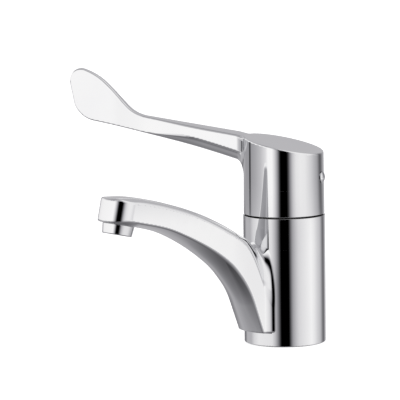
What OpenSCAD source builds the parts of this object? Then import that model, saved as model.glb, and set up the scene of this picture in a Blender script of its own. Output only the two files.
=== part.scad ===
// Elbow lever basin tap: cast body with its spout, cap with a long blade lever, lift and turn cartridge.
// Units are millimetres. The base stands on the deck at z = 0, the spout points to -Y and +Z is up.

/* [Body] */
// Diameter of the round body
body_d = 50; // [46:0.5:56]
// Height of the body's upper rim above the deck
body_h = 78; // [70:0.1:90]
// Wall of the body around the recess under the base
base_wall = 4; // [3.5:0.1:6]
// Depth of the recess under the base
base_recess_h = 20; // [12:1:26]
// Width of the base seal
base_seal_w = 2; // [1.5:0.1:2.5]
// Thickness of the base seal
base_seal_h = 1.6; // [1:0.1:3]

/* [Spout] */
// Width of the spout across its flat sides
spout_w = 25; // [22:0.5:30]
// Distance of the outlet from the body's axis
spout_reach = 128.6; // [110:0.1:150]
// Height where the underside leaves the body
spout_foot_z = 8.8; // [6:0.1:16]
// Distance of that point from the body's axis
spout_foot_u = 27.3; // [26:0.1:30]
// Length of the straight part of the underside
spout_foot_len = 19.8; // [10:0.1:24]
// Slope of the straight part of the underside
spout_foot_a = 70; // [60:1:80]
// Slope where the two bends of the underside meet
spout_mid_a = 35; // [28:1:40]
// Radius of the tight bend of the underside
spout_bend_r = 62.2; // [50:0.1:75]
// Radius of the wide bend of the underside
spout_sweep_r = 140; // [120:1:170]
// Upward pitch of the spout's end
tip_pitch = 13; // [10:0.5:16]
// Radius of the top edge
top_r = 172; // [150:1:190]
// Slope of the top edge at the body
top_root_a = 44; // [38:1:50]
// Slope of the top edge at the end
top_tip_a = 4.5; // [3:0.5:12]
// Distance of the top edge's start from the body's axis
top_root_u = 28; // [26:0.5:32]
// Height of the top edge's start
top_root_z = 53; // [48:0.5:58]
// Radius of the hollow fillet between the spout's sides and the body
root_fillet_r = 7.8; // [4:0.1:12]
// Wall around the water channel in the spout
spout_wall = 3.4; // [2.5:0.1:4]

/* [Lever] */
// Angle from the spout to the lever at the hot stop
lever_turn = 60; // [50:1:65]
// Height of the seam between body and cap
seam_gap = 0.9; // [0.8:0.1:2]
// Diameter of the cap at the seam
cap_d = 49.3; // [45:0.1:55]
// Diameter of the cap at the top
cap_top_d = 48.6; // [44:0.1:55]
// Height of the cap's sloping top above the body's rim, on the axis
cap_top_h = 43.6; // [38:0.1:48]
// Slope of the cap's top
cap_slope = 12; // [8:0.5:15]
// Wall of the cap
cap_wall = 2.45; // [2:0.05:3.5]
// Length of the lever from the axis to its end
lever_len = 139.4; // [120:0.1:160]
// Thickness of the lever at the cap
blade_root_t = 13; // [10:0.5:16]
// Thickness of the lever before the paddle
blade_mid_t = 6.8; // [5:0.1:9]
// Thickness of the paddle
blade_tip_t = 3.8; // [3:0.1:6]
// Upward slope of the lever's upper edge
blade_slope = 8.1; // [5:0.1:11]
// Height of the paddle above its lower edge
paddle_h = 32.7; // [26:0.1:38]
// Radius of the paddle's lower corner
heel_r = 16.7; // [12:0.1:20]
// Radius of the paddle's upper corner
tip_r = 7.6; // [6:0.1:9]
// Radius of the hollow between the lever and the paddle
neck_r = 22; // [16:0.5:26]

/* [Cartridge] */
// Height of the lift pin above the body's rim
pivot_h = 10.6; // [10:0.1:12]
// Largest lift of the lever
lift_max = 20; // [15:1:22]
// Diameter of the lift pin
pin_d = 4; // [3:0.5:5]
// Distance from the lift pin down to the stem's ball
ball_drop = 15; // [13:0.5:17]
// Diameter of the stem's ball
ball_d = 6; // [5:0.5:7]
// Diameter of the cartridge
cartridge_d = 28; // [26:0.5:28]
// Diameter of the moving disc
moving_disc_d = 14; // [13:0.1:14]
// Thickness of each ceramic disc
disc_t = 3.4; // [3:0.1:3.4]
// Width of the stem's square
square_w = 7.9; // [7:0.1:8]
// Height of the clamping screw above the lift pin
screw_h = 12.8; // [12:0.1:15]
// Diameter of the clamping screw
screw_d = 5; // [4:0.5:6]
// Diameter of the screw cover
cover_d = 7.6; // [6:0.1:9]

/* [Inlets and fixing] */
// Bore of each threaded inlet
inlet_d = 9; // [8:0.1:10]
// Depth of each inlet thread
inlet_len = 13; // [10:0.5:16]
// Distance of each inlet from the middle plane
inlet_x = 11.5; // [11:0.1:13]
// Distance of the inlets behind the body's axis
inlet_y = 4; // [2:0.1:6]
// Bore of the fixing stud's thread
stud_d = 6.8; // [5:0.1:8.5]
// Depth of the fixing stud's thread
stud_len = 18; // [14:0.5:22]
// Diameter of the boss around the fixing stud
stud_boss_d = 12; // [11:0.5:12.5]

/* [Aerator] */
// Diameter of the aerator's collar
aerator_d = 19; // [18:0.1:20]
// Height of the collar under the spout
aerator_h = 6; // [4:0.1:8]
// Diameter of the aerator's thread
aerator_thread_d = 16.5; // [15:0.1:17]
// Length of the aerator's thread
aerator_thread_h = 5; // [4:0.1:6]

/* [Clearances] */
// Running clearance of a pin or shaft on the radius
run_fit = 0.05; // [0.03:0.01:0.08]
// Free clearance between parts that pass each other
free_gap = 0.6; // [0.4:0.1:0.8]

/* [Hidden] */
$fn = 96;
eps = 0.5;
far = 2 * spout_reach;
body_r = body_d / 2;
base_recess_r = body_r - base_wall;
cap_z = body_h + seam_gap;
cap_top_z = body_h + cap_top_h;
pivot_z = body_h + pivot_h;
screw_z = pivot_z + screw_h;
cap_r = cap_d / 2;
cap_in_r = cap_r - cap_wall;
cap_ceiling_z = cap_top_z - cap_r * tan(cap_slope) - cap_wall - 1.5;
pin_drop = pivot_z - cap_z;
bowl_floor_z = pivot_z - cap_r * sin(lift_max) - pin_drop * cos(lift_max) - free_gap;
bowl_r = sqrt(cap_r * cap_r + pin_drop * pin_drop) + free_gap;
ball_z = pivot_z - ball_drop;
cart_r = cartridge_d / 2;
flange_t = 2;
nut_thread_h = 2;
nut_z = bowl_floor_z - nut_thread_h;
flange_z = nut_z - flange_t;
seat_z = flange_z - 12;
base_plate_t = 6;
fixed_disc_z = seat_z + base_plate_t;
moving_disc_z = fixed_disc_z + disc_t;
disc_carrier_z = moving_disc_z + disc_t;
housing_wall = 1.5;
housing_in_r = cart_r - housing_wall;
rotor_z = pivot_z - 11.4;
rotor_t = 3;
washer_t = 0.8;
lip_w = 2;
housing_top_z = rotor_z + rotor_t + washer_t + 1.4;
flange_r = cart_r + 1.8;
nut_r = flange_r + 0.6;
nut_hex_top_z = bowl_floor_z + 5;
nut_hex_r = nut_r - 1.3;
stop_ring_t = 4;
shroud_top_z = housing_top_z - 0.4;
ear_w = pin_d;
ear_in = square_w / 2 + 1;
ear_out = ear_in + 3;
ear_top_z = pivot_z + pin_d / 2 + 1.5;
stem_w = 2 * (ear_in - run_fit);
boss_r = 9;
boss_z = pivot_z + 7;
socket_top_z = ball_z + 2;
shank_r = 2;
slot_front = (pivot_z - rotor_z) * tan(lift_max) + shank_r + 1;
stem_h = 21;
port_r = 1.9;
port_x = 4.2;
port_back_y = 2;
port_front_y = -4.6;
seal_w = 1;
seal_h = 1.2;
aerator_seal_h = 1.6;
outlet_bore_h = aerator_thread_h + aerator_seal_h + 0.4;
way_z = seat_z - 12;
outlet_way_z = seat_z - 9;
fillet_bite = 0.05;
fillet_v = spout_w / 2 + root_fillet_r - fillet_bite;
fillet_d = body_r + root_fillet_r - fillet_bite;
fillet_u = sqrt(fillet_d * fillet_d - fillet_v * fillet_v);
fillet_k = body_r / (body_r + root_fillet_r);
lever_a = 270 - lever_turn;

// Points of an arc that turns from slope a0 to slope a1, starting at point p
function bend(p, r, a0, a1, n = 20) = [for (i = [0 : n]) let (a = a0 + (a1 - a0) * i / n)
    [p[0] + r * (sin(a0) - sin(a)), p[1] + r * (cos(a) - cos(a0))]];
// Points of a round corner about centre c
function corner(c, r, a0, a1, n = 10) = [for (i = [0 : n]) let (a = a0 + (a1 - a0) * i / n)
    [c[0] + r * cos(a), c[1] + r * sin(a)]];
function reversed(l) = [for (i = [len(l) - 1 : -1 : 0]) l[i]];

foot = [spout_foot_u, spout_foot_z];
foot_end = foot + spout_foot_len * [cos(spout_foot_a), sin(spout_foot_a)];
under_1 = bend(foot_end, spout_bend_r, spout_foot_a, spout_mid_a);
under_2 = bend(under_1[len(under_1) - 1], spout_sweep_r, spout_mid_a, tip_pitch);
under_end = under_2[len(under_2) - 1];
top_1 = bend([top_root_u, top_root_z], top_r, top_root_a, top_tip_a);
top_end = top_1[len(top_1) - 1];
spout_end_u = spout_reach + spout_w;
outlet_z = under_end[1] + (spout_reach - under_end[0]) * tan(tip_pitch);

// Turns a piece drawn along +X to the spout's direction
module along_spout() {
    rotate([0, 0, -90]) children();
}

// Turns a piece drawn along +X to the lever's direction
module along_lever() {
    rotate([0, 0, lever_a]) children();
}

// Places a piece drawn on the outlet's axis, with the underside of the spout at z = 0
module at_outlet() {
    along_spout() translate([spout_reach, 0, outlet_z]) rotate([0, -tip_pitch, 0]) children();
}

// Ring with a square section
module ring(r_out, r_in, h) {
    difference() {
        cylinder(r = r_out, h = h);
        translate([0, 0, -eps]) cylinder(r = r_in, h = h + 2 * eps);
    }
}

// The three water ways of the cartridge, two inlets and the outlet in front
module ports(r, z, h) {
    for (s = [-1, 1])
        translate([s * port_x, port_back_y, z]) cylinder(r = r, h = h);
    translate([0, port_front_y, z]) cylinder(r = r, h = h);
}

// Side outline of the spout, moved up by a at the underside and down by b at the top
module spout_side(a, b) {
    polygon(concat(
        [[0, spout_foot_z + a]],
        [foot + [0, a]],
        [for (p = under_1) p + [0, a]],
        [for (p = under_2) p + [0, a]],
        [[spout_end_u, under_end[1] + (spout_end_u - under_end[0]) * tan(tip_pitch) + a]],
        [[spout_end_u, top_end[1] + (spout_end_u - top_end[0]) * tan(top_tip_a) - b]],
        [for (p = reversed(top_1)) p - [0, b]],
        [[0, top_root_z - top_root_u * tan(top_root_a) / 2 - b]]));
}

// The solid spout: flat sides and a round end about the outlet's axis
module spout_solid() {
    intersection() {
        rotate([90, 0, 0]) linear_extrude(height = spout_w, center = true) spout_side(0, 0);
        translate([spout_reach, 0, outlet_z]) rotate([0, -tip_pitch, 0]) {
            cylinder(r = spout_w / 2, h = far, center = true);
            translate([-far, -spout_w / 2, -far / 2]) cube([far, spout_w, far]);
        }
    }
}

// Hollow fillets where the spout's flat sides leave the round body
module root_fillets() {
    intersection() {
        rotate([90, 0, 0]) linear_extrude(height = body_d, center = true) spout_side(0, 0);
        difference() {
            translate([0, -fillet_v * fillet_k, 0]) cube([fillet_u, 2 * fillet_v * fillet_k, body_h]);
            for (s = [-1, 1])
                translate([fillet_u, s * fillet_v, -eps]) cylinder(r = root_fillet_r, h = body_h + 2 * eps);
        }
    }
}

// The water channel from the cartridge's outlet to the aerator
module spout_channel() {
    intersection() {
        rotate([90, 0, 0]) linear_extrude(height = spout_w - 2 * spout_wall, center = true)
            spout_side(spout_wall + 3, spout_wall);
        union() {
            translate([body_r, -spout_w / 2, seat_z - 16]) cube([spout_reach - body_r, spout_w, far]);
            translate([spout_reach, 0, outlet_z]) rotate([0, -tip_pitch, 0])
                cylinder(r = spout_w / 2 - spout_wall, h = far, center = true);
        }
    }
    translate([-port_front_y - port_r - 1, 0, outlet_way_z]) rotate([0, 90, 0])
        cylinder(r = port_r + 1, h = body_r);
}

// Brass body and spout in one casting
module body_casting() {
    color("silver") difference() {
        union() {
            cylinder(r = body_r, h = body_h);
            along_spout() spout_solid();
            along_spout() root_fillets();
        }
        along_spout() spout_channel();
        at_outlet() translate([0, 0, -eps]) cylinder(r = aerator_thread_d / 2, h = outlet_bore_h + eps);
        translate([0, 0, pivot_z]) difference() {
            sphere(r = bowl_r);
            translate([-far / 2, -far / 2, bowl_floor_z - pivot_z - far]) cube(far);
        }
        translate([0, 0, flange_z]) cylinder(r = nut_r, h = far);
        translate([0, 0, seat_z]) cylinder(r = cart_r, h = far);
        translate([0, 0, -eps]) ring(base_recess_r, stud_boss_d / 2, base_recess_h + eps);
        translate([0, 0, -eps]) ring(base_recess_r + base_seal_w, base_recess_r - eps, base_seal_h + eps);
        translate([0, 0, -eps]) cylinder(r = stud_d / 2, h = stud_len + eps);
        translate([0, port_front_y, outlet_way_z]) cylinder(r = port_r, h = far);
        for (s = [-1, 1]) {
            translate([s * inlet_x, inlet_y, base_recess_h - eps])
                cylinder(r = inlet_d / 2, h = inlet_len + eps);
            translate([s * inlet_x, inlet_y, base_recess_h])
                cylinder(r = port_r, h = way_z - base_recess_h + port_r);
            translate([s * port_x, port_back_y, way_z]) cylinder(r = port_r, h = far);
            translate([s * (port_x + inlet_x) / 2, (port_back_y + inlet_y) / 2, way_z]) rotate([0, 90, 0])
                cylinder(r = port_r + 0.4, h = inlet_x - port_x + 2, center = true);
        }
    }
}

// Rubber ring between the base and the deck
module base_seal() {
    color("dimgray") ring(base_recess_r + base_seal_w, base_recess_r, base_seal_h);
}

// Rubber seals between the cartridge and the three ways in its seat
module port_seals() {
    color("dimgray") difference() {
        ports(port_r + seal_w, seat_z, seal_h);
        ports(port_r, seat_z - eps, seal_h + 2 * eps);
    }
}

// Bottom plate of the cartridge
module cartridge_base() {
    color("white") difference() {
        translate([0, 0, seat_z]) cylinder(r = cart_r - run_fit, h = base_plate_t);
        ports(port_r, seat_z - eps, base_plate_t + 2 * eps);
        ports(port_r + seal_w, seat_z - eps, seal_h + eps);
    }
}

// Ceramic disc that stays still
module fixed_disc() {
    color("ivory") difference() {
        translate([0, 0, fixed_disc_z]) cylinder(r = housing_in_r - run_fit, h = disc_t);
        ports(port_r, fixed_disc_z - eps, disc_t + 2 * eps);
    }
}

// Outer shell of the cartridge, with the collar that the nut holds down
module cartridge_housing() {
    color("whitesmoke") difference() {
        union() {
            translate([0, 0, fixed_disc_z]) cylinder(r = cart_r - run_fit, h = housing_top_z - fixed_disc_z);
            translate([0, 0, flange_z]) cylinder(r = flange_r, h = flange_t);
        }
        translate([0, 0, fixed_disc_z - eps])
            cylinder(r = housing_in_r, h = rotor_z + rotor_t + washer_t - fixed_disc_z + eps);
        translate([0, 0, rotor_z]) cylinder(r = housing_in_r - lip_w, h = far);
        translate([0, 0, flange_z - 3]) ring(cart_r + 1, cart_r - 0.8, 1.6);
    }
}

// Rubber ring around the cartridge shell
module housing_seal() {
    color("dimgray") translate([0, 0, flange_z - 3]) ring(cart_r, cart_r - 0.8, 1.6);
}

// Brass nut that clamps the cartridge, with a hexagon above its thread
module retaining_nut() {
    color("goldenrod") difference() {
        union() {
            translate([0, 0, nut_z]) cylinder(r = nut_r, h = bowl_floor_z - nut_z);
            translate([0, 0, bowl_floor_z - eps])
                cylinder(r = nut_hex_r, h = nut_hex_top_z - bowl_floor_z + eps, $fn = 6);
        }
        translate([0, 0, nut_z - eps]) cylinder(r = cart_r + 0.1, h = far);
    }
}

// Plastic ring that sets the hottest position
module stop_ring() {
    color("firebrick") translate([0, 0, nut_hex_top_z]) ring(cart_r + 0.8, cart_r - run_fit, stop_ring_t);
}

// Plated cover over the nut, seen when the lever is up
module shroud() {
    h = shroud_top_z - bowl_floor_z;
    color("silver") translate([0, 0, bowl_floor_z]) difference() {
        cylinder(r1 = nut_r + 0.7, r2 = cart_r + 1.5, h = h);
        translate([0, 0, -0.01]) cylinder(r1 = nut_r + 0.1, r2 = cart_r + 0.9, h = h + 0.02);
    }
}

// Turning fork that carries the lift pin
module stem_carrier() {
    color("gainsboro") along_lever() difference() {
        union() {
            translate([0, 0, rotor_z]) cylinder(r = housing_in_r - run_fit, h = rotor_t);
            translate([0, 0, rotor_z]) cylinder(r = housing_in_r - lip_w - run_fit, h = rotor_t + 2.6);
            for (s = [-1, 1])
                translate([-ear_w, s > 0 ? ear_in : -ear_out, rotor_z])
                    cube([2 * ear_w, ear_out - ear_in, ear_top_z - rotor_z]);
        }
        translate([-ear_w, -ear_in, rotor_z - eps]) cube([ear_w + slot_front, 2 * ear_in, far]);
        translate([0, 0, pivot_z]) rotate([90, 0, 0]) cylinder(r = pin_d / 2, h = far, center = true);
    }
}

// Steel pin that the stem tips on
module pivot_pin() {
    color("slategray") along_lever() translate([0, 0, pivot_z]) rotate([90, 0, 0])
        cylinder(r = pin_d / 2, h = 2 * ear_out, center = true);
}

// Slide washer between the fork and the shell
module carrier_washer() {
    color("black") translate([0, 0, rotor_z + rotor_t]) ring(housing_in_r, housing_in_r - lip_w, washer_t);
}

// Ceramic disc that slides over the fixed one
module moving_disc() {
    color("ivory") along_lever() difference() {
        translate([0, 0, moving_disc_z]) cylinder(r = moving_disc_d / 2, h = disc_t);
        translate([0, 0, moving_disc_z - eps]) cylinder(r = port_r, h = 1.5 + eps);
    }
}

// Plastic driver on the moving disc, with the socket for the stem's ball
module disc_carrier() {
    color("white") along_lever() difference() {
        union() {
            translate([0, 0, disc_carrier_z]) cylinder(r = moving_disc_d / 2, h = 1.8);
            translate([0, 0, disc_carrier_z]) cylinder(r = ball_d / 2 + 2, h = socket_top_z - disc_carrier_z);
        }
        translate([0, 0, disc_carrier_z + 1.8]) cylinder(r = ball_d / 2 + run_fit, h = far);
    }
}

// Brass stem: ball, shank, eye for the lift pin and square for the lever
module stem() {
    color("goldenrod") along_lever() difference() {
        union() {
            translate([0, 0, ball_z]) sphere(r = ball_d / 2);
            translate([0, 0, ball_z]) cylinder(r = shank_r, h = ball_drop);
            translate([-ear_w, -stem_w / 2, pivot_z - ear_w]) cube([2 * ear_w, stem_w, 2 * ear_w + eps]);
            translate([-square_w / 2, -square_w / 2, pivot_z]) cube([square_w, square_w, stem_h]);
        }
        translate([0, 0, pivot_z]) rotate([90, 0, 0])
            cylinder(r = pin_d / 2 + run_fit, h = far, center = true);
    }
}

// Upper and lower edge of the lever's arm, as heights over the cap's top
function arm_top(u) = 6.6 + (u - cap_r - 3.35) * tan(blade_slope);
function arm_low(u) = let (d = u - cap_r - 6.35) -9.8 + 0.281 * d - 0.000563 * d * d;

// Side outline of the lever, with the cap's top at height 0
module lever_side() {
    heel_a = 10;
    heel = [lever_len - 15.6, arm_low(lever_len - 15.6)];
    tip = [lever_len - tip_r, heel[1] + paddle_h - tip_r];
    neck_u = lever_len - 50.7;
    neck = [neck_u - neck_r * sin(blade_slope), arm_top(neck_u) + neck_r * cos(blade_slope)];
    shoulder = [[-7, 5.4], [-10.1, 3.8], [-13.3, 1.8], [-16.2, -0.5], [-21.8, -5.8]];
    polygon(concat(
        [[cap_in_r - 1, -13.2], [cap_r - 0.3, -15.2]],
        corner([cap_r + 4.2, -15.4], 4.3, 175, 105, 6),
        [for (i = [0 : 7]) let (u = cap_r + 6.35 + i / 8 * (heel[0] - cap_r - 6.35)) [u, arm_low(u)]],
        corner([heel[0] - heel_r * sin(heel_a), heel[1] + heel_r * cos(heel_a)], heel_r, heel_a - 90, -21, 12),
        corner(tip, tip_r, -12, 112, 14),
        [for (p = shoulder) tip + p],
        corner(neck, neck_r, -43.6, blade_slope - 90, 10),
        [[cap_r + 3.35, arm_top(cap_r + 3.35)], [cap_in_r - 1, arm_top(cap_r + 3.35) - 1.9]]));
}

// Plan outline of the lever
module lever_plan() {
    half = [[cap_in_r - 1, blade_root_t / 2], [cap_r + 5, blade_root_t / 2 - 0.6],
        [cap_r + 33, (blade_root_t + blade_mid_t) / 4 - 0.2], [lever_len - 51, blade_mid_t / 2],
        [lever_len - 27, blade_tip_t / 2], [lever_len + 1, blade_tip_t / 2]];
    polygon(concat(half, [for (p = reversed(half)) [p[0], -p[1]]]));
}

// Cap and lever in one casting
module lever_handle() {
    color("silver") along_lever() difference() {
        union() {
            difference() {
                union() {
                    intersection() {
                        translate([0, 0, cap_z]) cylinder(r1 = cap_r, r2 = cap_top_d / 2, h = 50);
                        translate([0, 0, cap_top_z]) rotate([0, -cap_slope, 0])
                            translate([-far / 2, -far / 2, -far]) cube(far);
                    }
                    intersection() {
                        translate([0, 0, cap_top_z]) rotate([90, 0, 0])
                            linear_extrude(height = 2 * blade_root_t, center = true) lever_side();
                        translate([0, 0, cap_z]) linear_extrude(height = far) lever_plan();
                    }
                }
                translate([0, 0, cap_z - eps]) cylinder(r = cap_in_r, h = cap_ceiling_z - cap_z + eps);
            }
            translate([0, 0, boss_z]) cylinder(r = boss_r, h = cap_ceiling_z - boss_z + eps);
        }
        translate([-square_w / 2 - run_fit, -square_w / 2 - run_fit, boss_z - eps])
            cube([square_w + 2 * run_fit, square_w + 2 * run_fit, pivot_z + stem_h - boss_z + eps]);
        translate([-boss_r - eps, 0, screw_z]) rotate([0, 90, 0]) cylinder(r = screw_d / 2, h = boss_r);
        translate([-cap_r - eps, 0, screw_z]) rotate([0, 90, 0]) cylinder(r = cover_d / 2 - 0.5, h = 5);
    }
}

// Hexagon socket screw that clamps the lever on the stem's square
module clamp_screw() {
    color("slategray") along_lever() translate([-square_w / 2 - 7, 0, screw_z]) rotate([0, 90, 0])
        difference() {
            cylinder(r = screw_d / 2, h = 7);
            translate([0, 0, -eps]) cylinder(r = 1.4, h = 3 + eps, $fn = 6);
        }
}

// Domed plug over the screw's access hole
module screw_cover() {
    dome_r = (cover_d * cover_d / 4 + 1.3 * 1.3) / 2.6;
    color("silver") along_lever() translate([-cap_r + 0.15, 0, screw_z]) rotate([0, -90, 0]) {
        translate([0, 0, -2]) cylinder(r = cover_d / 2 - 0.5, h = 2.2);
        intersection() {
            translate([0, 0, 0.2 + 1.3 - dome_r]) sphere(r = dome_r);
            translate([0, 0, 0.2]) cylinder(r = cover_d / 2, h = 3);
        }
    }
}

// Collar and thread of the aerator
module aerator_housing() {
    color("silver") at_outlet() difference() {
        union() {
            translate([0, 0, -aerator_h]) cylinder(r = aerator_d / 2 - 0.8, h = aerator_h);
            translate([0, 0, -2.8]) cylinder(r = aerator_d / 2, h = 2.8);
            translate([0, 0, -eps]) cylinder(r = aerator_thread_d / 2 - run_fit, h = aerator_thread_h + eps);
        }
        translate([0, 0, -aerator_h - eps]) cylinder(r = aerator_thread_d / 2 - 1.6, h = far);
    }
}

// Rubber washer above the aerator
module aerator_seal() {
    color("dimgray") at_outlet() translate([0, 0, aerator_thread_h])
        ring(aerator_thread_d / 2 - run_fit, aerator_thread_d / 2 - 2.4, aerator_seal_h);
}

// Plastic body of the aerator, with the honeycomb outlet
module aerator_insert() {
    insert_r = aerator_thread_d / 2 - 1.6;
    color("gray") at_outlet() difference() {
        translate([0, 0, -aerator_h + 1]) cylinder(r = insert_r - run_fit, h = 4);
        for (x = [-2 : 2], y = [-2 : 2])
            if (x * x + y * y < 7)
                translate([x * 2.3, y * 2.3, -aerator_h - eps]) cylinder(r = 0.9, h = far, $fn = 6);
    }
}

// Flow regulator that sits on the insert
module aerator_regulator() {
    color("seagreen") at_outlet() translate([0, 0, -aerator_h + 5])
        ring(aerator_thread_d / 2 - 1.6 - run_fit, 2, 3);
}

// Fine screen on top of the regulator
module aerator_screen() {
    color("lightgray") at_outlet() translate([0, 0, -aerator_h + 8])
        cylinder(r = aerator_thread_d / 2 - 1.6 - run_fit, h = 1);
}

body_casting();
base_seal();
port_seals();
cartridge_base();
fixed_disc();
cartridge_housing();
housing_seal();
retaining_nut();
stop_ring();
shroud();
stem_carrier();
pivot_pin();
carrier_washer();
moving_disc();
disc_carrier();
stem();
lever_handle();
clamp_screw();
screw_cover();
aerator_housing();
aerator_seal();
aerator_insert();
aerator_regulator();
aerator_screen();
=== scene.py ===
import math

import bpy
import numpy as np
from mathutils import Matrix

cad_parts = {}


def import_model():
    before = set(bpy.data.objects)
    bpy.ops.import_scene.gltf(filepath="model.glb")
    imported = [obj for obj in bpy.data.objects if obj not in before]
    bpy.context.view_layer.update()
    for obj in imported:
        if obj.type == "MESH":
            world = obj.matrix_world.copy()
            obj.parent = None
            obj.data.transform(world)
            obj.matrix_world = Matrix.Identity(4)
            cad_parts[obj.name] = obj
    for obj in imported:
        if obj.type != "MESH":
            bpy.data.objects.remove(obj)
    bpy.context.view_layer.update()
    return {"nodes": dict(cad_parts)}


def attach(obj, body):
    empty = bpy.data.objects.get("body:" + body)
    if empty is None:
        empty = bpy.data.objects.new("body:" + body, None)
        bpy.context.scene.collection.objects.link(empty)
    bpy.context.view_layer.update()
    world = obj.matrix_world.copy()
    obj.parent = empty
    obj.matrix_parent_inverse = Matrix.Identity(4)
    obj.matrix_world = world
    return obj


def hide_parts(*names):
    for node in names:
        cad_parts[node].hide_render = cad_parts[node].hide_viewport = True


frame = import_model()

# Body and spout: one brass casting, ground, polished and chrome plated, with a recess below and a bowl above.
# A round body stands on the deck, and a flat-sided spout sweeps up from it to the outlet.
# Sizes are in millimetres, and u is the distance from the body's axis along the spout.
BODY_R, BODY_H = 25.0, 78.0
SPOUT_W, SPOUT_REACH = 25.0, 128.6
TIP_PITCH = math.radians(13)
FOOT = np.array([27.3, 8.8])
FOOT_A, FOOT_LEN = math.radians(70), 19.8
MID_A = math.radians(35)
BEND_R, SWEEP_R = 62.2, 140.0
TOP_ROOT = np.array([28.0, 53.0])
TOP_R = 172.0
TOP_ROOT_A, TOP_TIP_A = math.radians(44), math.radians(4.5)


def slope_point(centre, radius, slope):
    """The point of an arc where it has this slope."""
    return centre + radius * np.array([-math.sin(slope), math.cos(slope)])


def bend_centre(start, radius, slope):
    """The centre of an arc that leaves the start with this slope and bends down."""
    return start + radius * np.array([math.sin(slope), -math.cos(slope)])


foot_end = FOOT + FOOT_LEN * np.array([math.cos(FOOT_A), math.sin(FOOT_A)])
bend_c = bend_centre(foot_end, BEND_R, FOOT_A)
sweep_c = bend_centre(slope_point(bend_c, BEND_R, MID_A), SWEEP_R, MID_A)
under_end = slope_point(sweep_c, SWEEP_R, TIP_PITCH)
outlet_z = under_end[1] + (SPOUT_REACH - under_end[0]) * math.tan(TIP_PITCH)
top_c = bend_centre(TOP_ROOT, TOP_R, TOP_ROOT_A)
top_end = slope_point(top_c, TOP_R, TOP_TIP_A)


def ease(x, low, high):
    """A soft step from 0 to 1 between low and high."""
    t = np.clip((x - low) / (high - low), 0.0, 1.0)
    return t * t * (3 - 2 * t)


def rounded(a, b, r):
    """What lies inside both a and b, with the edge between them rounded to radius r."""
    p, q = a + r, b + r
    return np.minimum(np.maximum(p, q), 0) + np.hypot(np.maximum(p, 0), np.maximum(q, 0)) - r


def filleted(a, b, lean, r):
    """What lies inside a or b, with a hollow fillet of radius r; lean is the cosine between their faces."""
    p, q = r - a, r - b
    lean = np.clip(lean, -0.95, 0.95)
    hollow = np.sqrt(np.maximum(p * p + q * q - 2 * p * q * lean, 0) / (1 - lean * lean))
    inside = (p > lean * q) & (q > lean * p) & (p + q > 0)
    return np.where(inside, np.minimum(r - hollow, np.minimum(a, b)), np.minimum(a, b))


def gradient(field, x, y, z, h=0.02):
    return np.stack([field(x + h, y, z) - field(x - h, y, z),
                     field(x, y + h, z) - field(x, y - h, z),
                     field(x, y, z + h) - field(x, y, z - h)], -1) / (2 * h)


def cast_skin(field, low, high, step):
    """Points, quads and normals of the skin where the field is zero, on a grid of this step."""
    axes = [np.arange(low[i], high[i] + step, step) for i in range(3)]
    nodes = np.stack(np.meshgrid(*axes, indexing="ij"), -1)
    solid = field(nodes[..., 0], nodes[..., 1], nodes[..., 2]) < 0
    cells = [size - 1 for size in solid.shape]
    count = sum(solid[i:cells[0] + i, j:cells[1] + j, k:cells[2] + k].astype(int)
                for i in (0, 1) for j in (0, 1) for k in (0, 1))
    crossed = (count > 0) & (count < 8)
    index = np.full(crossed.shape, -1)
    index[crossed] = np.arange(crossed.sum())
    points = nodes[:-1, :-1, :-1][crossed] + step / 2
    quads = []
    for axis in range(3):
        sides = (axis + 1) % 3, (axis + 2) % 3
        b, c = (np.eye(3, dtype=int)[side] for side in sides)
        here = np.take(solid, range(0, solid.shape[axis] - 1), axis)
        ahead = np.take(solid, range(1, solid.shape[axis]), axis)
        at = np.argwhere(ahead != here)
        for side in sides:
            at = at[(at[:, side] > 0) & (at[:, side] < cells[side])]
        ring = np.stack([index[tuple((at - s).T)] for s in (0 * b, b, b + c, c)], 1)
        flip = ~here[tuple(at.T)]
        ring[flip] = ring[flip][:, ::-1]
        quads.append(ring)
    for _ in range(8):
        d = field(*points.T)
        g = gradient(field, *points.T)
        move = -g * (d / np.maximum((g * g).sum(1), 0.25))[:, None]
        points += np.clip(move, -step * 0.6, step * 0.6)
    g = gradient(field, *points.T)
    return points, np.concatenate(quads), g / np.linalg.norm(g, axis=1)[:, None]


def lathe_skin(profile, turns, axis_to_part):
    """Points, quads and normals of a closed ring about the local Z axis, from rows of r, z, nr and nz."""
    p = np.array(profile)
    a = np.arange(turns) * 2 * math.pi / turns

    def turned_about(out, up):
        return np.stack([np.outer(np.cos(a), out), np.outer(np.sin(a), out), np.tile(up, (turns, 1))], -1)

    points, normals = turned_about(p[:, 0], p[:, 1]), turned_about(p[:, 2], p[:, 3])
    n = len(p)
    i, j = np.meshgrid(np.arange(turns), np.arange(n), indexing="ij")
    here, beside, ahead = i * n, (i + 1) % turns * n, (j + 1) % n
    quads = np.stack([here + j, here + ahead, beside + ahead, beside + j], -1)
    turn = np.array(axis_to_part.to_3x3())
    points = points.reshape(-1, 3) @ turn.T + np.array(axis_to_part.translation)
    return points, quads.reshape(-1, 4), normals.reshape(-1, 3) @ turn.T


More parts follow.
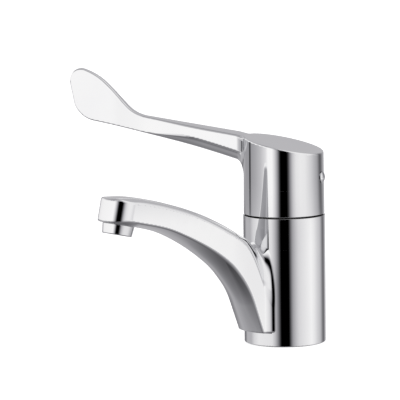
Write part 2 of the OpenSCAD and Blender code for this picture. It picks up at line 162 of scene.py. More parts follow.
def ring_profile(corners, edge=0.3, steps=4):
    """Rows for lathe_skin: a closed outline with every corner rounded, given clockwise in r and z."""
    rows = []
    c = np.array([q[:2] for q in corners], float)
    for k in range(len(c)):
        before, after = c[k - 1] - c[k], c[(k + 1) % len(c)] - c[k]
        u, v = before / np.linalg.norm(before), after / np.linalg.norm(after)
        n0, n1 = np.array([u[1], -u[0]]), np.array([-v[1], v[0]])
        r = corners[k][2] if len(corners[k]) > 2 else edge
        half = math.acos(max(-1, min(1, float(u @ v)))) / 2
        reach = min(r / math.tan(half), 0.45 * np.linalg.norm(before), 0.45 * np.linalg.norm(after))
        r = reach * math.tan(half)
        bulge = 1 if n0[0] * n1[1] - n0[1] * n1[0] < 0 else -1
        centre = c[k] + (u + v) / np.linalg.norm(u + v) * r / math.sin(half)
        a0, a1 = math.atan2(*(n0 * bulge)[::-1]), math.atan2(*(n1 * bulge)[::-1])
        a1 = a0 + (a1 - a0 + math.pi) % (2 * math.pi) - math.pi
        for t in np.linspace(a0, a1, steps + 1):
            n = np.array([math.cos(t), math.sin(t)])
            rows.append([*(centre + r * n), *(n * bulge)])
    return rows


def plated_piece(name, skins):
    """One object, in metres, from skins of points, quads and normals, with the casting's own normals."""
    points, quads, normals, first = [], [], [], 0
    for p, q, n in skins:
        points.append(p)
        quads.append(q + first)
        normals.append(n)
        first += len(p)
    points = np.concatenate(points) / 1000
    mesh = bpy.data.meshes.new(name)
    mesh.from_pydata(points.tolist(), [], np.concatenate(quads).tolist())
    mesh.polygons.foreach_set("use_smooth", np.ones(len(mesh.polygons), bool))
    mesh.update()
    mesh.normals_split_custom_set_from_vertices(np.concatenate(normals).tolist())
    piece = bpy.data.objects.new(name, mesh)
    bpy.context.collection.objects.link(piece)
    return piece


def spout_top(u, z):
    """Height over the plain arc of the spout's top and the straight end after it."""
    line = (z - top_end[1]) * math.cos(TOP_TIP_A) - (u - top_end[0]) * math.sin(TOP_TIP_A)
    arc = np.hypot(u - top_c[0], z - top_c[1]) - TOP_R
    past = (u - top_c[0]) * math.cos(TOP_TIP_A) + (z - top_c[1]) * math.sin(TOP_TIP_A) > 0
    return np.where(past, line, arc)


def spout_under(u, z):
    """Depth under the straight foot, the two bends and the straight tip of the spout's underside."""
    foot = -(-(u - FOOT[0]) * math.sin(FOOT_A) + (z - FOOT[1]) * math.cos(FOOT_A))
    bend = BEND_R - np.hypot(u - bend_c[0], z - bend_c[1])
    sweep = SWEEP_R - np.hypot(u - sweep_c[0], z - sweep_c[1])
    tip = -(-(u - under_end[0]) * math.sin(TIP_PITCH) + (z - under_end[1]) * math.cos(TIP_PITCH))

    def before(centre, slope):
        return (u - centre[0]) * math.cos(slope) + (z - centre[1]) * math.sin(slope) < 0

    d = np.where(before(bend_c, FOOT_A), foot, bend)
    d = np.where(before(sweep_c, MID_A), d, sweep)
    return np.where(before(sweep_c, TIP_PITCH), d, tip)


def outlet_place(u, z):
    """Distance ahead of the outlet's axis, and height over the mouth of the outlet."""
    ahead = (u - SPOUT_REACH) * math.cos(TIP_PITCH) + (z - outlet_z) * math.sin(TIP_PITCH)
    deep = -(u - SPOUT_REACH) * math.sin(TIP_PITCH) + (z - outlet_z) * math.cos(TIP_PITCH)
    return ahead, deep


def spout_plan(u, x, z):
    """Distance from the spout's flat sides and its round end about the outlet."""
    return np.hypot(np.maximum(outlet_place(u, z)[0], 0), x) - SPOUT_W / 2


# The top is crowned: it rises to a crest near the body, and at the root it is a tall, slightly pinched arch.
TIP_EDGE_R, NOSE_EDGE_R, ROOT_EDGE_R = 0.9, 0.6, 12.0
MID_CREST, CREST_RISE, TIP_RISE, NOSE_FALL, ROOT_RISE = 0.3, 4.1, 0.3, 0.9, 1.7
CREST_FAR, CREST_LEN, CREST_RUN, CREST_POWER = 98, 58, 60, 1.45
TOP_CAMBER, MID_FLATTER, NOSE_FLATTER = 3.2, 0.7, 0.5
ARCH_STRETCH, ROOT_PINCH = 0.4, 1.1


def spout_upper(x, y, z):
    """The spout's top and sides, without its underside."""
    u = -y
    root = 1 - ease(u, 22, 46)
    edge = TIP_EDGE_R + (ROOT_EDGE_R - TIP_EDGE_R) * root + NOSE_EDGE_R * ease(u, 130, 140)
    climb = (np.clip(CREST_FAR - u, 0, CREST_LEN) / CREST_RUN) ** CREST_POWER
    crest = (MID_CREST + CREST_RISE * climb + TIP_RISE * ease(u, 108, 125) - NOSE_FALL * ease(u, 116, 141)
             + ROOT_RISE * root)
    camber = TOP_CAMBER - MID_FLATTER * ease(u, 55, 85) - NOSE_FLATTER * ease(u, 122, 142)
    aside = (2 * x / SPOUT_W) ** 2
    roof = spout_top(u, z) - crest + camber * (1 - root) * aside ** 2
    side = spout_plan(u, x, z) + ROOT_PINCH * (1 - ease(u, 20, 52))
    return rounded(roof * (1 - ARCH_STRETCH * root), side, edge)


# The underside swells at the root and is crowned across, with a flat seat for the aerator round the outlet.
ROOT_SWELL, BELLY_SWELL, TIP_SHRINK = 2.2, 3.7, 5.95
UNDER_CAMBER, BELLY_CAMBER, NOSE_CAMBER_CUT = 2.3, 2.9, 0.5
SEAT_R, SEAT_FADE_R = 9.2, 12.5
LOW_EDGE_R = 1.0


def spout_lower(u, x, z, off_axis):
    """The spout's underside and the step above the deck."""
    belly = BELLY_CAMBER * ease(u, 22, 50) * (1 - ease(u, 50, 92))
    off_seat = ease(off_axis, SEAT_R, SEAT_FADE_R)
    camber = (UNDER_CAMBER + belly) * (1 - NOSE_CAMBER_CUT * ease(u, 128, 141)) * off_seat
    swell = (ROOT_SWELL + BELLY_SWELL * ease(u, 22, 50) - TIP_SHRINK * ease(u, 42, 114)
             - camber * (2 * x / SPOUT_W) ** 2)
    return rounded(spout_under(u, z) - swell, FOOT[1] - z, LOW_EDGE_R)


SIDE_FILLET_R, TOP_FILLET_R, BASE_EDGE_R = 6.5, 1.7, 0.6
SPLIT_Z = 60.0
RECESS_R, RECESS_H, BOSS_UNDER_R = 21.0, 20.0, 6.0
GROOVE_R, GROOVE_H = 23.0, 1.6
STUD_R, STUD_H = 3.4, 18.0
INLET_X, INLET_Y, INLET_R, INLET_TOP_Z = 11.5, 4.0, 4.5, 33.0
CARTRIDGE_R, CARTRIDGE_SEAT_Z = 14.0, 54.5
OUTLET_R, OUTLET_H = 8.25, 7.0


def body_field(x, y, z):
    """The casting without its turned rim: below zero in the metal, above zero outside."""
    u = -y
    r = np.hypot(x, y)
    wall = r - (BODY_R - 0.03 * np.maximum(z - SPLIT_Z, 0))
    upper = spout_upper(x, y, z)
    slope = gradient(spout_upper, x, y, z, 0.05)
    steep = np.maximum(np.linalg.norm(slope, axis=-1), 0.1)
    lean = (slope[..., 0] * x + slope[..., 1] * y) / np.maximum(r, 1) / steep
    fillet_r = TOP_FILLET_R + (SIDE_FILLET_R - TOP_FILLET_R) * ease(lean, -0.65, 0.2)
    joined = filleted(wall, upper, lean, fillet_r)
    ahead, deep = outlet_place(u, z)
    off_axis = np.hypot(ahead, x)
    spout = rounded(joined, spout_lower(u, x, z, off_axis), LOW_EDGE_R)
    stump = rounded(rounded(wall, -z, BASE_EDGE_R), z - SPLIT_Z - 5, 0.4)
    rim_room = np.maximum(SPLIT_Z + 8 - z, r - 30)
    whole = np.maximum(np.minimum(spout, stump), -rim_room)
    recess = np.maximum(np.maximum(BOSS_UNDER_R - r, r - RECESS_R), z - RECESS_H)
    groove = np.maximum(np.maximum(r - GROOVE_R, z - GROOVE_H), BOSS_UNDER_R - r)
    stud = np.maximum(r - STUD_R, z - STUD_H)
    inlet = np.maximum(np.hypot(np.abs(x) - INLET_X, y - INLET_Y) - INLET_R, z - INLET_TOP_Z)
    seat = np.maximum(r - CARTRIDGE_R, CARTRIDGE_SEAT_Z - z)
    outlet = np.maximum(off_axis - OUTLET_R, deep - OUTLET_H)
    return np.maximum(whole, -np.minimum.reduce([recess, groove, stud, inlet, seat, outlet]))


body_skins = [cast_skin(body_field, (-27.1, -143.2, -1.3), (27.3, 27.3, 104.6), 0.75)]

# The rim above the spout is turned: the outside, the thin upper edge, and the bowl down to the nut's thread.
BOWL_R, BOWL_FLOOR_Z, PIVOT_Z = 26.95, 70.4, 88.6
NUT_THREAD_R = 16.4
PROUD = 0.004
rim_r = BODY_R + PROUD
bowl_from, bowl_to = (math.asin((PIVOT_Z - z) / BOWL_R) for z in (BODY_H, BOWL_FLOOR_Z))
bowl_a = np.linspace(bowl_from, bowl_to, 12)
bowl = [(BOWL_R * math.cos(a), PIVOT_Z - BOWL_R * math.sin(a), 0.02) for a in bowl_a[-2::-1]]
rim_corners = [(NUT_THREAD_R, SPLIT_Z), (NUT_THREAD_R, BOWL_FLOOR_Z),
               (BOWL_R * math.cos(bowl_a[-1]), BOWL_FLOOR_Z, 0.05), *bowl, (rim_r, BODY_H, 0.12),
               (rim_r, SPLIT_Z - 0.9, 0.01), (BODY_R - 1, SPLIT_Z - 2, 0.1)]
body_skins.append(lathe_skin(ring_profile(rim_corners, 0.2, 3), 192, Matrix.Identity(4)))
body = plated_piece("body_shell", body_skins)


def finish_nodes(name, metal=0.0):
    """An empty finish: its tree, its shader, and a place on the piece to read patterns from."""
    finish = bpy.data.materials.new(name)
    finish.use_nodes = True
    tree = finish.node_tree
    shader = tree.nodes["Principled BSDF"]
    shader.inputs["Metallic"].default_value = metal
    place = tree.nodes.new("ShaderNodeTexCoord").outputs["Object"]
    return finish, tree, shader, place


def cloud(tree, place, scale, detail=3.0, rough=0.5):
    noise = tree.nodes.new("ShaderNodeTexNoise")
    noise.inputs["Scale"].default_value = scale
    noise.inputs["Detail"].default_value = detail
    noise.inputs["Roughness"].default_value = rough
    tree.links.new(place, noise.inputs["Vector"])
    return noise.outputs["Fac"]


def spread(tree, value, low, high, start=0.3, end=0.7):
    ramp = tree.nodes.new("ShaderNodeMapRange")
    for socket, number in zip(("From Min", "From Max", "To Min", "To Max"), (start, end, low, high)):
        ramp.inputs[socket].default_value = number
    tree.links.new(value, ramp.inputs["Value"])
    return ramp.outputs["Result"]


def tinted(tree, value, dark, light, start=0.3, end=0.7):
    ramp = tree.nodes.new("ShaderNodeValToRGB")
    first, last = ramp.color_ramp.elements
    first.position, first.color = start, (*dark, 1)
    last.position, last.color = end, (*light, 1)
    tree.links.new(value, ramp.inputs["Fac"])
    return ramp.outputs["Color"]


def relief(tree, shader, height, depth):
    bump = tree.nodes.new("ShaderNodeBump")
    bump.inputs["Strength"].default_value = 1.0
    bump.inputs["Distance"].default_value = depth
    tree.links.new(height, bump.inputs["Height"])
    tree.links.new(bump.outputs["Normal"], shader.inputs["Normal"])


def chrome_plate(name, dark, light, haze):
    """Bright plating over polished brass: a faint cast in the colour, a light haze, hardly any waviness."""
    finish, tree, shader, place = finish_nodes(name, 1.0)
    tree.links.new(tinted(tree, cloud(tree, place, 22, 2), dark, light), shader.inputs["Base Color"])
    hazy = spread(tree, cloud(tree, place, 180, 4), haze * 0.6, haze * 1.5)
    tree.links.new(hazy, shader.inputs["Roughness"])
    relief(tree, shader, cloud(tree, place, 45, 1), 2e-6)
    return finish


bright_chrome = chrome_plate("bright_chrome", (0.845, 0.85, 0.86), (0.875, 0.88, 0.885), 0.03)
# A rough plating whose dark grey colour is painted shade: it keeps the bowl, the bore, the thread and the
# seam under the cap dark.
dull_chrome_painted_shade = chrome_plate("dull_chrome_painted_shade", (0.2, 0.2, 0.2), (0.3, 0.3, 0.3), 0.5)


def plate(piece, inside):
    """Bright plating outside, and a thin dull plating on the faces that the polishing wheel can't reach, its
    dark colour painted shade in the recesses.
    """
    piece.data.materials.append(bright_chrome)
    piece.data.materials.append(dull_chrome_painted_shade)
    centres = np.empty(3 * len(piece.data.polygons))
    piece.data.polygons.foreach_get("center", centres)
    shaded_faces = inside(*centres.reshape(-1, 3).T * 1000).astype(int)
    piece.data.polygons.foreach_set("material_index", shaded_faces)


# Faces inside the bowl and the outlet's bore, which get the dark plating as painted shade.
def inside_body(x, y, z):
    ahead, deep = outlet_place(-y, z)
    bored = (np.hypot(ahead, x) < OUTLET_R + 0.15) & (deep > 0.1) & (deep < OUTLET_H + 0.1)
    return (np.hypot(x, y) < BODY_R - 0.6) | bored


plate(body, inside_body)
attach(body, "tap_body")
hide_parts("body_casting")


# Base seal: a flat ring of black rubber in a groove under the body.
# It is pressed between the casting and the deck when the stud is tightened.
def moulded(name, dark, light, grain, rough, depth):
    """Moulded rubber, plastic or fired ceramic: a slight cloud in the colour, a grain and an even gloss."""
    finish, tree, shader, place = finish_nodes(name)
    tree.links.new(tinted(tree, cloud(tree, place, grain / 6, 3), dark, light), shader.inputs["Base Color"])
    gloss = spread(tree, cloud(tree, place, grain, 4), rough * 0.85, min(1, rough * 1.15))
    tree.links.new(gloss, shader.inputs["Roughness"])
    relief(tree, shader, cloud(tree, place, grain, 3), depth)
    return finish


def dress(node, finish):
    """Gives a solid that stays as it is its own finish."""
    piece = frame["nodes"][node]
    piece.data.materials.clear()
    piece.data.materials.append(finish)


black_rubber = moulded("black_rubber", (0.012, 0.012, 0.013), (0.03, 0.03, 0.031), 900, 0.7, 1.5e-5)
dress("base_seal", black_rubber)

# Cartridge foot: a white acetal plate with three small rubber rings under it.
# It stands on the seat in the casting, over the two inlets and the outlet.
white_acetal = moulded("white_acetal", (0.72, 0.71, 0.68), (0.8, 0.79, 0.76), 700, 0.38, 4e-6)
dress("port_seals", black_rubber)
dress("cartridge_base", white_acetal)

# Ceramic discs: two lapped alumina plates that slide on each other and meter the water.
# The upper one is held in a small driver with a socket for the stem's ball.
lapped_ceramic = moulded("lapped_ceramic", (0.74, 0.71, 0.64), (0.83, 0.8, 0.73), 1600, 0.16, 1e-6)
for disc in ("fixed_disc", "moving_disc"):
    dress(disc, lapped_ceramic)
dress("disc_carrier", white_acetal)


# Stem, lift pin and turning fork: turned brass, a ground steel pin and an acetal fork.
# The fork turns in the shell on its slide washer, and the stem tips on the pin.
def turned(name, dark, light, rough, axis_scale):
    """Bare turned metal with fine rings across its axis and a slight stain."""
    finish, tree, shader, place = finish_nodes(name, 1.0)
    stretch = tree.nodes.new("ShaderNodeMapping")
    stretch.inputs["Scale"].default_value = axis_scale
    tree.links.new(place, stretch.inputs["Vector"])
    rings = cloud(tree, stretch.outputs["Vector"], 1.0, 2)
    tree.links.new(tinted(tree, cloud(tree, place, 120, 4), dark, light), shader.inputs["Base Color"])
    tree.links.new(spread(tree, rings, rough * 0.7, rough * 1.4), shader.inputs["Roughness"])
    relief(tree, shader, rings, 4e-6)
    return finish


turned_brass = turned("turned_brass", (0.66, 0.47, 0.2), (0.78, 0.58, 0.28), 0.24, (40, 40, 3000))
ground_steel = turned("ground_steel", (0.5, 0.5, 0.51), (0.6, 0.6, 0.61), 0.22, (900, 900, 900))
dress("stem", turned_brass)
dress("pivot_pin", ground_steel)
dress("stem_carrier", white_acetal)
dress("carrier_washer", black_rubber)

# Cartridge shell: a white acetal cup with a collar, and a rubber ring round it.
# A brass nut screws down on the collar, and a red ring on the shell limits the hot side.
dress("cartridge_housing", white_acetal)
dress("housing_seal", black_rubber)
dress("retaining_nut", turned_brass)
hot_red = moulded("hot_red", (0.5, 0.02, 0.018), (0.62, 0.035, 0.03), 800, 0.42, 5e-6)
dress("stop_ring", hot_red)

# Shroud: a thin brass cover with a dull plating, pushed over the nut.
# It is what shows in the bowl when the lever is lifted; its dark grey colour is painted shade that keeps the
# seam under the cap dark.
dress("shroud", dull_chrome_painted_shade)

# Lever: a round cap with a long blade and an upright elbow paddle, cast in one and chrome plated.
# The cap's top slopes up towards the blade, which grows out of the cap with a hollow fillet.
# Here u runs from the body's axis along the blade, v across it, and h up from the middle of the cap's top.
LEVER_A, LEVER_LEN = math.radians(210), 139.4
CAP_R, CAP_TOP_R, CAP_Z, CAP_TOP_Z = 24.65, 24.3, 78.9, 121.6
CAP_SLOPE, CAP_EDGE_R = math.radians(12), 0.9
CAP_SPLIT_Z = 94.0
CAP_IN_R, CAP_CEILING_Z = 22.2, 112.4
CAP_BOSS_R, CAP_BOSS_Z = 9.0, 95.6
SQUARE_HALF_W, SQUARE_TOP_Z = 4.0, 109.7
SCREW_Z, SCREW_WAY_R = 101.4, 2.55
COVER_WAY_R, COVER_WAY_U = 3.35, 19.6
ARM_LOW_U, ARM_TOP_U = 6.35, 3.35
ARM_SLOPE = math.radians(8.1)
HEEL_R, HEEL_BACK, TIP_R, PADDLE_H = 16.7, 15.6, 7.6, 32.7
NECK_R, NECK_BACK = 22, 50.7
SHOULDER = ((-7, 5.4), (-10.1, 3.8), (-13.3, 1.8), (-16.2, -0.5), (-21.8, -5.8))
lever_turn = np.array(Matrix.Rotation(LEVER_A, 4, "Z").to_3x3())
cap_taper = (CAP_R - CAP_TOP_R) / 50


def round_corner(c, r, a0, a1, n):
    return [(c[0] + r * math.cos(a), c[1] + r * math.sin(a)) for a in np.radians(np.linspace(a0, a1, n))]


def arm_low(u):
    """Height of the blade's lower edge, which climbs and slowly levels out."""
    d = u - CAP_R - ARM_LOW_U
    return -9.8 + 0.281 * d - 0.000563 * d * d


def arm_top(u):
    """Height of the blade's straight upper edge."""
    return 6.6 + (u - CAP_R - ARM_TOP_U) * math.tan(ARM_SLOPE)


heel = (LEVER_LEN - HEEL_BACK, arm_low(LEVER_LEN - HEEL_BACK))
heel_a = math.radians(10)
heel_c = (heel[0] - HEEL_R * math.sin(heel_a), heel[1] + HEEL_R * math.cos(heel_a))
tip = (LEVER_LEN - TIP_R, heel[1] + PADDLE_H - TIP_R)
neck_u = LEVER_LEN - NECK_BACK
neck = (neck_u - NECK_R * math.sin(ARM_SLOPE), arm_top(neck_u) + NECK_R * math.cos(ARM_SLOPE))
low_u, top_u = CAP_R + ARM_LOW_U, CAP_R + ARM_TOP_U
blade_outline = [(10.0, arm_low(low_u) - 2.5), (CAP_R, arm_low(low_u) - 1.8)]
blade_outline += [(u, arm_low(u)) for u in np.linspace(low_u, heel[0], 40)]
blade_outline += round_corner(heel_c, HEEL_R, -80, -21, 30)
blade_outline += round_corner(tip, TIP_R, -12, 112, 40)
blade_outline += [(tip[0] + a, tip[1] + b) for a, b in SHOULDER]
blade_outline += round_corner(neck, NECK_R, -43.6, -81.9, 30)
blade_outline += [(top_u, arm_top(top_u)), (10.0, 1.6)]


def smooth_outline(points, step, passes):
    """The closed outline as even short steps, with its small corners worn round."""
    p = np.array(points + points[:1], float)
    run = np.concatenate([[0], np.cumsum(np.hypot(*np.diff(p, axis=0).T))])
    at = np.arange(0, run[-1], step)
    p = np.stack([np.interp(at, run, p[:, k]) for k in (0, 1)], 1)
    for _ in range(passes):
        p = (np.roll(p, 1, 0) + 2 * p + np.roll(p, -1, 0)) / 4
    return p


def outline_distance(u, h, edge):
    """Distance to a closed outline, negative inside it."""
    best, wind = np.full(u.shape, 1e9), np.zeros(u.shape)
    for (x0, y0), (x1, y1) in zip(edge, np.roll(edge, -1, 0)):
        ex, ey = x1 - x0, y1 - y0
        t = np.clip(((u - x0) * ex + (h - y0) * ey) / (ex * ex + ey * ey), 0, 1)
        best = np.minimum(best, (u - x0 - t * ex) ** 2 + (h - y0 - t * ey) ** 2)
        side = ex * (h - y0) - ey * (u - x0)
        wind += np.where((y0 <= h) & (y1 > h) & (side > 0), 1, 0)
        wind -= np.where((y0 > h) & (y1 <= h) & (side < 0), 1, 0)
    return np.sqrt(best) * np.where(wind != 0, -1, 1)


MAP_STEP = 0.25
map_u, map_h = np.arange(4, 146, MAP_STEP), np.arange(-22, 52, MAP_STEP)
blade_edge = smooth_outline(blade_outline, 0.4, 12)
blade_map = outline_distance(*np.meshgrid(map_u, map_h, indexing="ij"), blade_edge)


def spline_weights(f):
    return ((1 - f) ** 3 / 6, (3 * f ** 3 - 6 * f ** 2 + 4) / 6,
            (-3 * f ** 3 + 3 * f ** 2 + 3 * f + 1) / 6, f ** 3 / 6)


def blade_side(u, h):
    """The outline's distance, read smoothly from its map."""
    a, b = (u - map_u[0]) / MAP_STEP, (h - map_h[0]) / MAP_STEP
    a, b = np.clip(a, 1, len(map_u) - 3.001), np.clip(b, 1, len(map_h) - 3.001)
    i, j = a.astype(int), b.astype(int)
    along, up = spline_weights(a - i), spline_weights(b - j)
    return sum(wa * wb * blade_map[i + m - 1, j + n - 1]
               for m, wa in enumerate(along) for n, wb in enumerate(up))


# The blade is thick at the cap and thin at the paddle, and its bar has a soft keel and a crowned top.
half_u = [0, CAP_R, CAP_R + 5, CAP_R + 33, LEVER_LEN - 51, LEVER_LEN - 27, LEVER_LEN + 10]
half_t = [6.6, 6.3, 5.9, 4.75, 3.4, 1.9, 1.9]
even_u = np.linspace(0, LEVER_LEN + 10, 300)
even_t = np.interp(even_u, half_u, half_t)
for _ in range(60):
    even_t[1:-1] = (even_t[:-2] + 2 * even_t[1:-1] + even_t[2:]) / 4
PADDLE_KEEL_R, BAR_KEEL_R = 0.6, 3.4
PADDLE_BROW_R, BAR_BROW_R = 0.8, 0.2
PADDLE_CROWN, BAR_CROWN = 0.5, 1.4
KEEL_STRETCH = 0.9


def blade_field(u, v, z):
    h = z - CAP_TOP_Z
    low = arm_low(np.clip(u, CAP_R, LEVER_LEN))
    above = ease(h - low, 5, 10)
    bar = 1 - ease(u, 50, 96)
    keel, brow = PADDLE_KEEL_R + BAR_KEEL_R * bar, PADDLE_BROW_R + BAR_BROW_R * bar
    tall = 1 + KEEL_STRETCH * bar * (1 - above)
    half = np.interp(u, even_u, even_t)
    crown = (PADDLE_CROWN + BAR_CROWN * bar) * np.minimum(v / half, 1.2) ** 2
    edge = np.minimum(keel + (brow - keel) * above, half - 0.3)
    return rounded(blade_side(u, h + crown * above) / tall, np.abs(v) - half, edge)


def cap_field(u, v, z):
    shrink = 0.03 * np.maximum(CAP_SPLIT_Z - z, 0)
    wall = np.hypot(u, v) - (CAP_R - cap_taper * (z - CAP_Z) - shrink)
    top = (z - CAP_TOP_Z) * math.cos(CAP_SLOPE) - u * math.sin(CAP_SLOPE)
    return rounded(wall, top, CAP_EDGE_R)


ROOT_HOLLOW_R, UNDER_HOLLOW_R, OVER_HOLLOW_R = 6.0, 6.0, 3.5


def lever_field(u, v, z):
    """The cap above its split and the blade: below zero in the metal, above zero outside."""
    cap, blade = cap_field(u, v, z), blade_field(u, v, z)
    near = (np.minimum(cap, blade) < 12) & (u > 10)
    a = gradient(cap_field, u[near], v[near], z[near], 0.05)
    b = gradient(blade_field, u[near], v[near], z[near], 0.05)
    lean = np.zeros(u.shape)
    lean[near] = (a * b).sum(-1) / np.maximum(np.linalg.norm(a, axis=-1) * np.linalg.norm(b, axis=-1), 0.1)
    hollow_r = np.full(u.shape, ROOT_HOLLOW_R)
    hollow_r[near] += (UNDER_HOLLOW_R * ease(-b[..., 2], 0.3, 0.95)
                       - OVER_HOLLOW_R * ease(b[..., 2], 0.3, 0.95))
    joined = np.where(near, filleted(cap, blade, lean, hollow_r), np.minimum(cap, blade))
    r = np.hypot(u, v)
    room = np.maximum(r - CAP_IN_R, z - CAP_CEILING_Z)
    boss = np.maximum(r - CAP_BOSS_R, CAP_BOSS_Z - z)
    square = np.maximum(np.maximum(np.abs(u), np.abs(v)) - SQUARE_HALF_W, z - SQUARE_TOP_Z)
    way_r = np.where(u < -COVER_WAY_U, COVER_WAY_R, SCREW_WAY_R)
    screw_way = np.maximum(np.hypot(v, z - SCREW_Z) - way_r, u)
    hollow = np.minimum.reduce([np.maximum(room, -boss), square, screw_way])
    return np.maximum(np.maximum(joined, CAP_SPLIT_Z - 4 - z), -hollow)


points, quads, normals = cast_skin(lever_field, (-25.9, -26.2, 88.3), (141.2, 26.4, 168.2), 0.65)
lever_skins = [(points @ lever_turn.T, quads, normals @ lever_turn.T)]
split_r = CAP_R + PROUD - cap_taper * (CAP_SPLIT_Z + 0.9 - CAP_Z)
skirt_corners = [(CAP_IN_R, CAP_Z, 0.3), (CAP_IN_R, CAP_SPLIT_Z + 2, 0.02),
                 (split_r - 1, CAP_SPLIT_Z + 2, 0.1), (split_r, CAP_SPLIT_Z + 0.9, 0.01),
                 (CAP_R + PROUD, CAP_Z, 0.35)]
lever_skins.append(lathe_skin(ring_profile(skirt_corners, 0.2, 4), 192, Matrix.Identity(4)))
lever = plated_piece("lever_shell", lever_skins)
# The cap's hollow and the inside of its skirt get the dark plating, painted shade seen through the seam.
plate(lever, lambda x, y, z: (np.hypot(x, y) < CAP_IN_R + 0.2) & (z < CAP_CEILING_Z + 0.2))
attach(lever, "lever")
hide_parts("lever_handle")

# Clamping screw and its cover: a socket screw across the cap's boss, and a small domed plug over its hole.
# The plug is pushed into the back of the cap and plated like it.
dress("clamp_screw", ground_steel)
dress("screw_cover", bright_chrome)

# Aerator collar: turned brass, plated, with a flange that meets the spout and a fine thread above it.
# It is screwed into the outlet and carries the other pieces of the aerator.
FLANGE_R, COLLAR_R, COLLAR_H = 9.4, 8.7, 6.0
THREAD_R, THREAD_H, WAY_R = 8.2, 5.0, 6.65
core_r = THREAD_R - 0.4
pitch_cos, pitch_sin = math.cos(TIP_PITCH), math.sin(TIP_PITCH)
outlet_frame = Matrix(((0, 1, 0, 0), (-pitch_cos, 0, pitch_sin, -SPOUT_REACH),
                       (pitch_sin, 0, pitch_cos, outlet_z), (0, 0, 0, 1)))
collar_corners = [(WAY_R, -COLLAR_H, 0.3), (WAY_R, THREAD_H), (core_r, THREAD_H), (core_r, 0, 0.05),
                  (FLANGE_R, 0, 0.3), (COLLAR_R, -COLLAR_H, 0.7)]
collar = plated_piece("aerator_collar", [lathe_skin(ring_profile(collar_corners, 0.2, 6), 128, outlet_frame)])
# The collar's part inside the outlet gets the dark plating, painted shade in the gap above the flange.
plate(collar, lambda x, y, z: outlet_place(-y, z)[1] > 0.05)
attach(collar, "tap_body")
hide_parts("aerator_housing")


class Growth:
    """A Geometry Nodes tree in the making: named inputs, and steps joined by their sockets."""

    def __init__(self, name, sizes):
        self.tree = bpy.data.node_groups.new(name, "GeometryNodeTree")
        self.tree.interface.new_socket("Geometry", in_out="OUTPUT", socket_type="NodeSocketGeometry")
        self.sizes = sizes
        for label in sizes:
            self.tree.interface.new_socket(label, in_out="INPUT", socket_type="NodeSocketFloat")
        self.given = self.tree.nodes.new("NodeGroupInput").outputs
        self.result = self.tree.nodes.new("NodeGroupOutput").inputs["Geometry"]

    def step(self, kind, values=None, **choices):
        """Adds a node; a value is a number, a tuple, a finish or another node's output."""
        made = self.tree.nodes.new(kind)
        for label, choice in choices.items():
            setattr(made, label, choice)
        for label, value in (values or {}).items():
            socket = made.inputs[label]
            for one in value if isinstance(value, list) else [value]:
                if isinstance(one, bpy.types.NodeSocket):
                    self.tree.links.new(one, socket)
                else:
                    socket.default_value = one
        return made.outputs

    def sum(self, kind, a, b=0.0):
        return self.step("ShaderNodeMath", {0: a, 1: b}, operation=kind)["Value"]

    def vector(self, **parts):
        return self.step("ShaderNodeCombineXYZ", parts)["Vector"]

    def spot(self):
        return self.step("GeometryNodeInputPosition")["Position"]

    def circle(self, corners, radius):
        values = {"Resolution": corners, "Radius": radius}
        return self.step("GeometryNodeCurvePrimitiveCircle", values)["Curve"]

    def bar(self, width, height):
        sides = {"Width": width, "Height": height}
        return self.step("GeometryNodeCurvePrimitiveQuadrilateral", sides)["Curve"]

    def sweep(self, path, section, capped=False):
        values = {"Curve": path, "Profile Curve": section, "Fill Caps": capped}
        return self.step("GeometryNodeCurveToMesh", values)["Mesh"]

    def copies(self, points, piece, **placing):
        values = {"Points": points, "Instance": piece, **placing}
        return self.step("GeometryNodeInstanceOnPoints", values)["Instances"]

    def joined(self, *pieces):
        return self.step("GeometryNodeJoinGeometry", {"Geometry": list(pieces)})["Geometry"]

    def grow(self, name, geometry, finish, place):
        """The tree's mesh as a plain object, put in its place."""
        whole = self.step("GeometryNodeRealizeInstances", {"Geometry": geometry})["Geometry"]
        dressed = self.step("GeometryNodeSetMaterial", {"Geometry": whole, "Material": finish})["Geometry"]
        self.tree.links.new(dressed, self.result)
        piece = bpy.data.objects.new(name, bpy.data.meshes.new(name))
        bpy.context.collection.objects.link(piece)
        grower = piece.modifiers.new(name, "NODES")
        grower.node_group = self.tree
        for item in self.tree.interface.items_tree:
            if item.in_out == "INPUT":
                grower[item.identifier] = float(self.sizes[item.name])
        bpy.context.view_layer.update()
        mesh = bpy.data.meshes.new_from_object(piece.evaluated_get(bpy.context.evaluated_depsgraph_get()))
        piece.modifiers.clear()
        mesh.transform(place)
        mesh.name = name
        piece.data = mesh
        return piece


def in_outlet(height):
    """A place on the outlet's axis, in metres, at this height over its mouth."""
    place = outlet_frame.copy()
    place.translation = outlet_frame.translation / 1000
    return place @ Matrix.Translation((0, 0, height))


turns = Growth("thread_turns", {"Core": 0.0078, "Rise": 0.0042, "Turns": 4.2, "Ridge": 0.0004})
helix = turns.step("GeometryNodeCurveSpiral", {
    "Resolution": 72, "Rotations": turns.given["Turns"], "Height": turns.given["Rise"],
    "Start Radius": turns.given["Core"], "End Radius": turns.given["Core"]})["Curve"]
ridge = turns.sweep(helix, turns.circle(6, turns.given["Ridge"]), True)
# The thread turns carry the dark plating, painted shade in the narrow gap above the flange.
thread = turns.grow("collar_thread", ridge, dull_chrome_painted_shade, in_outlet(0.0004))
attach(thread, "tap_body")

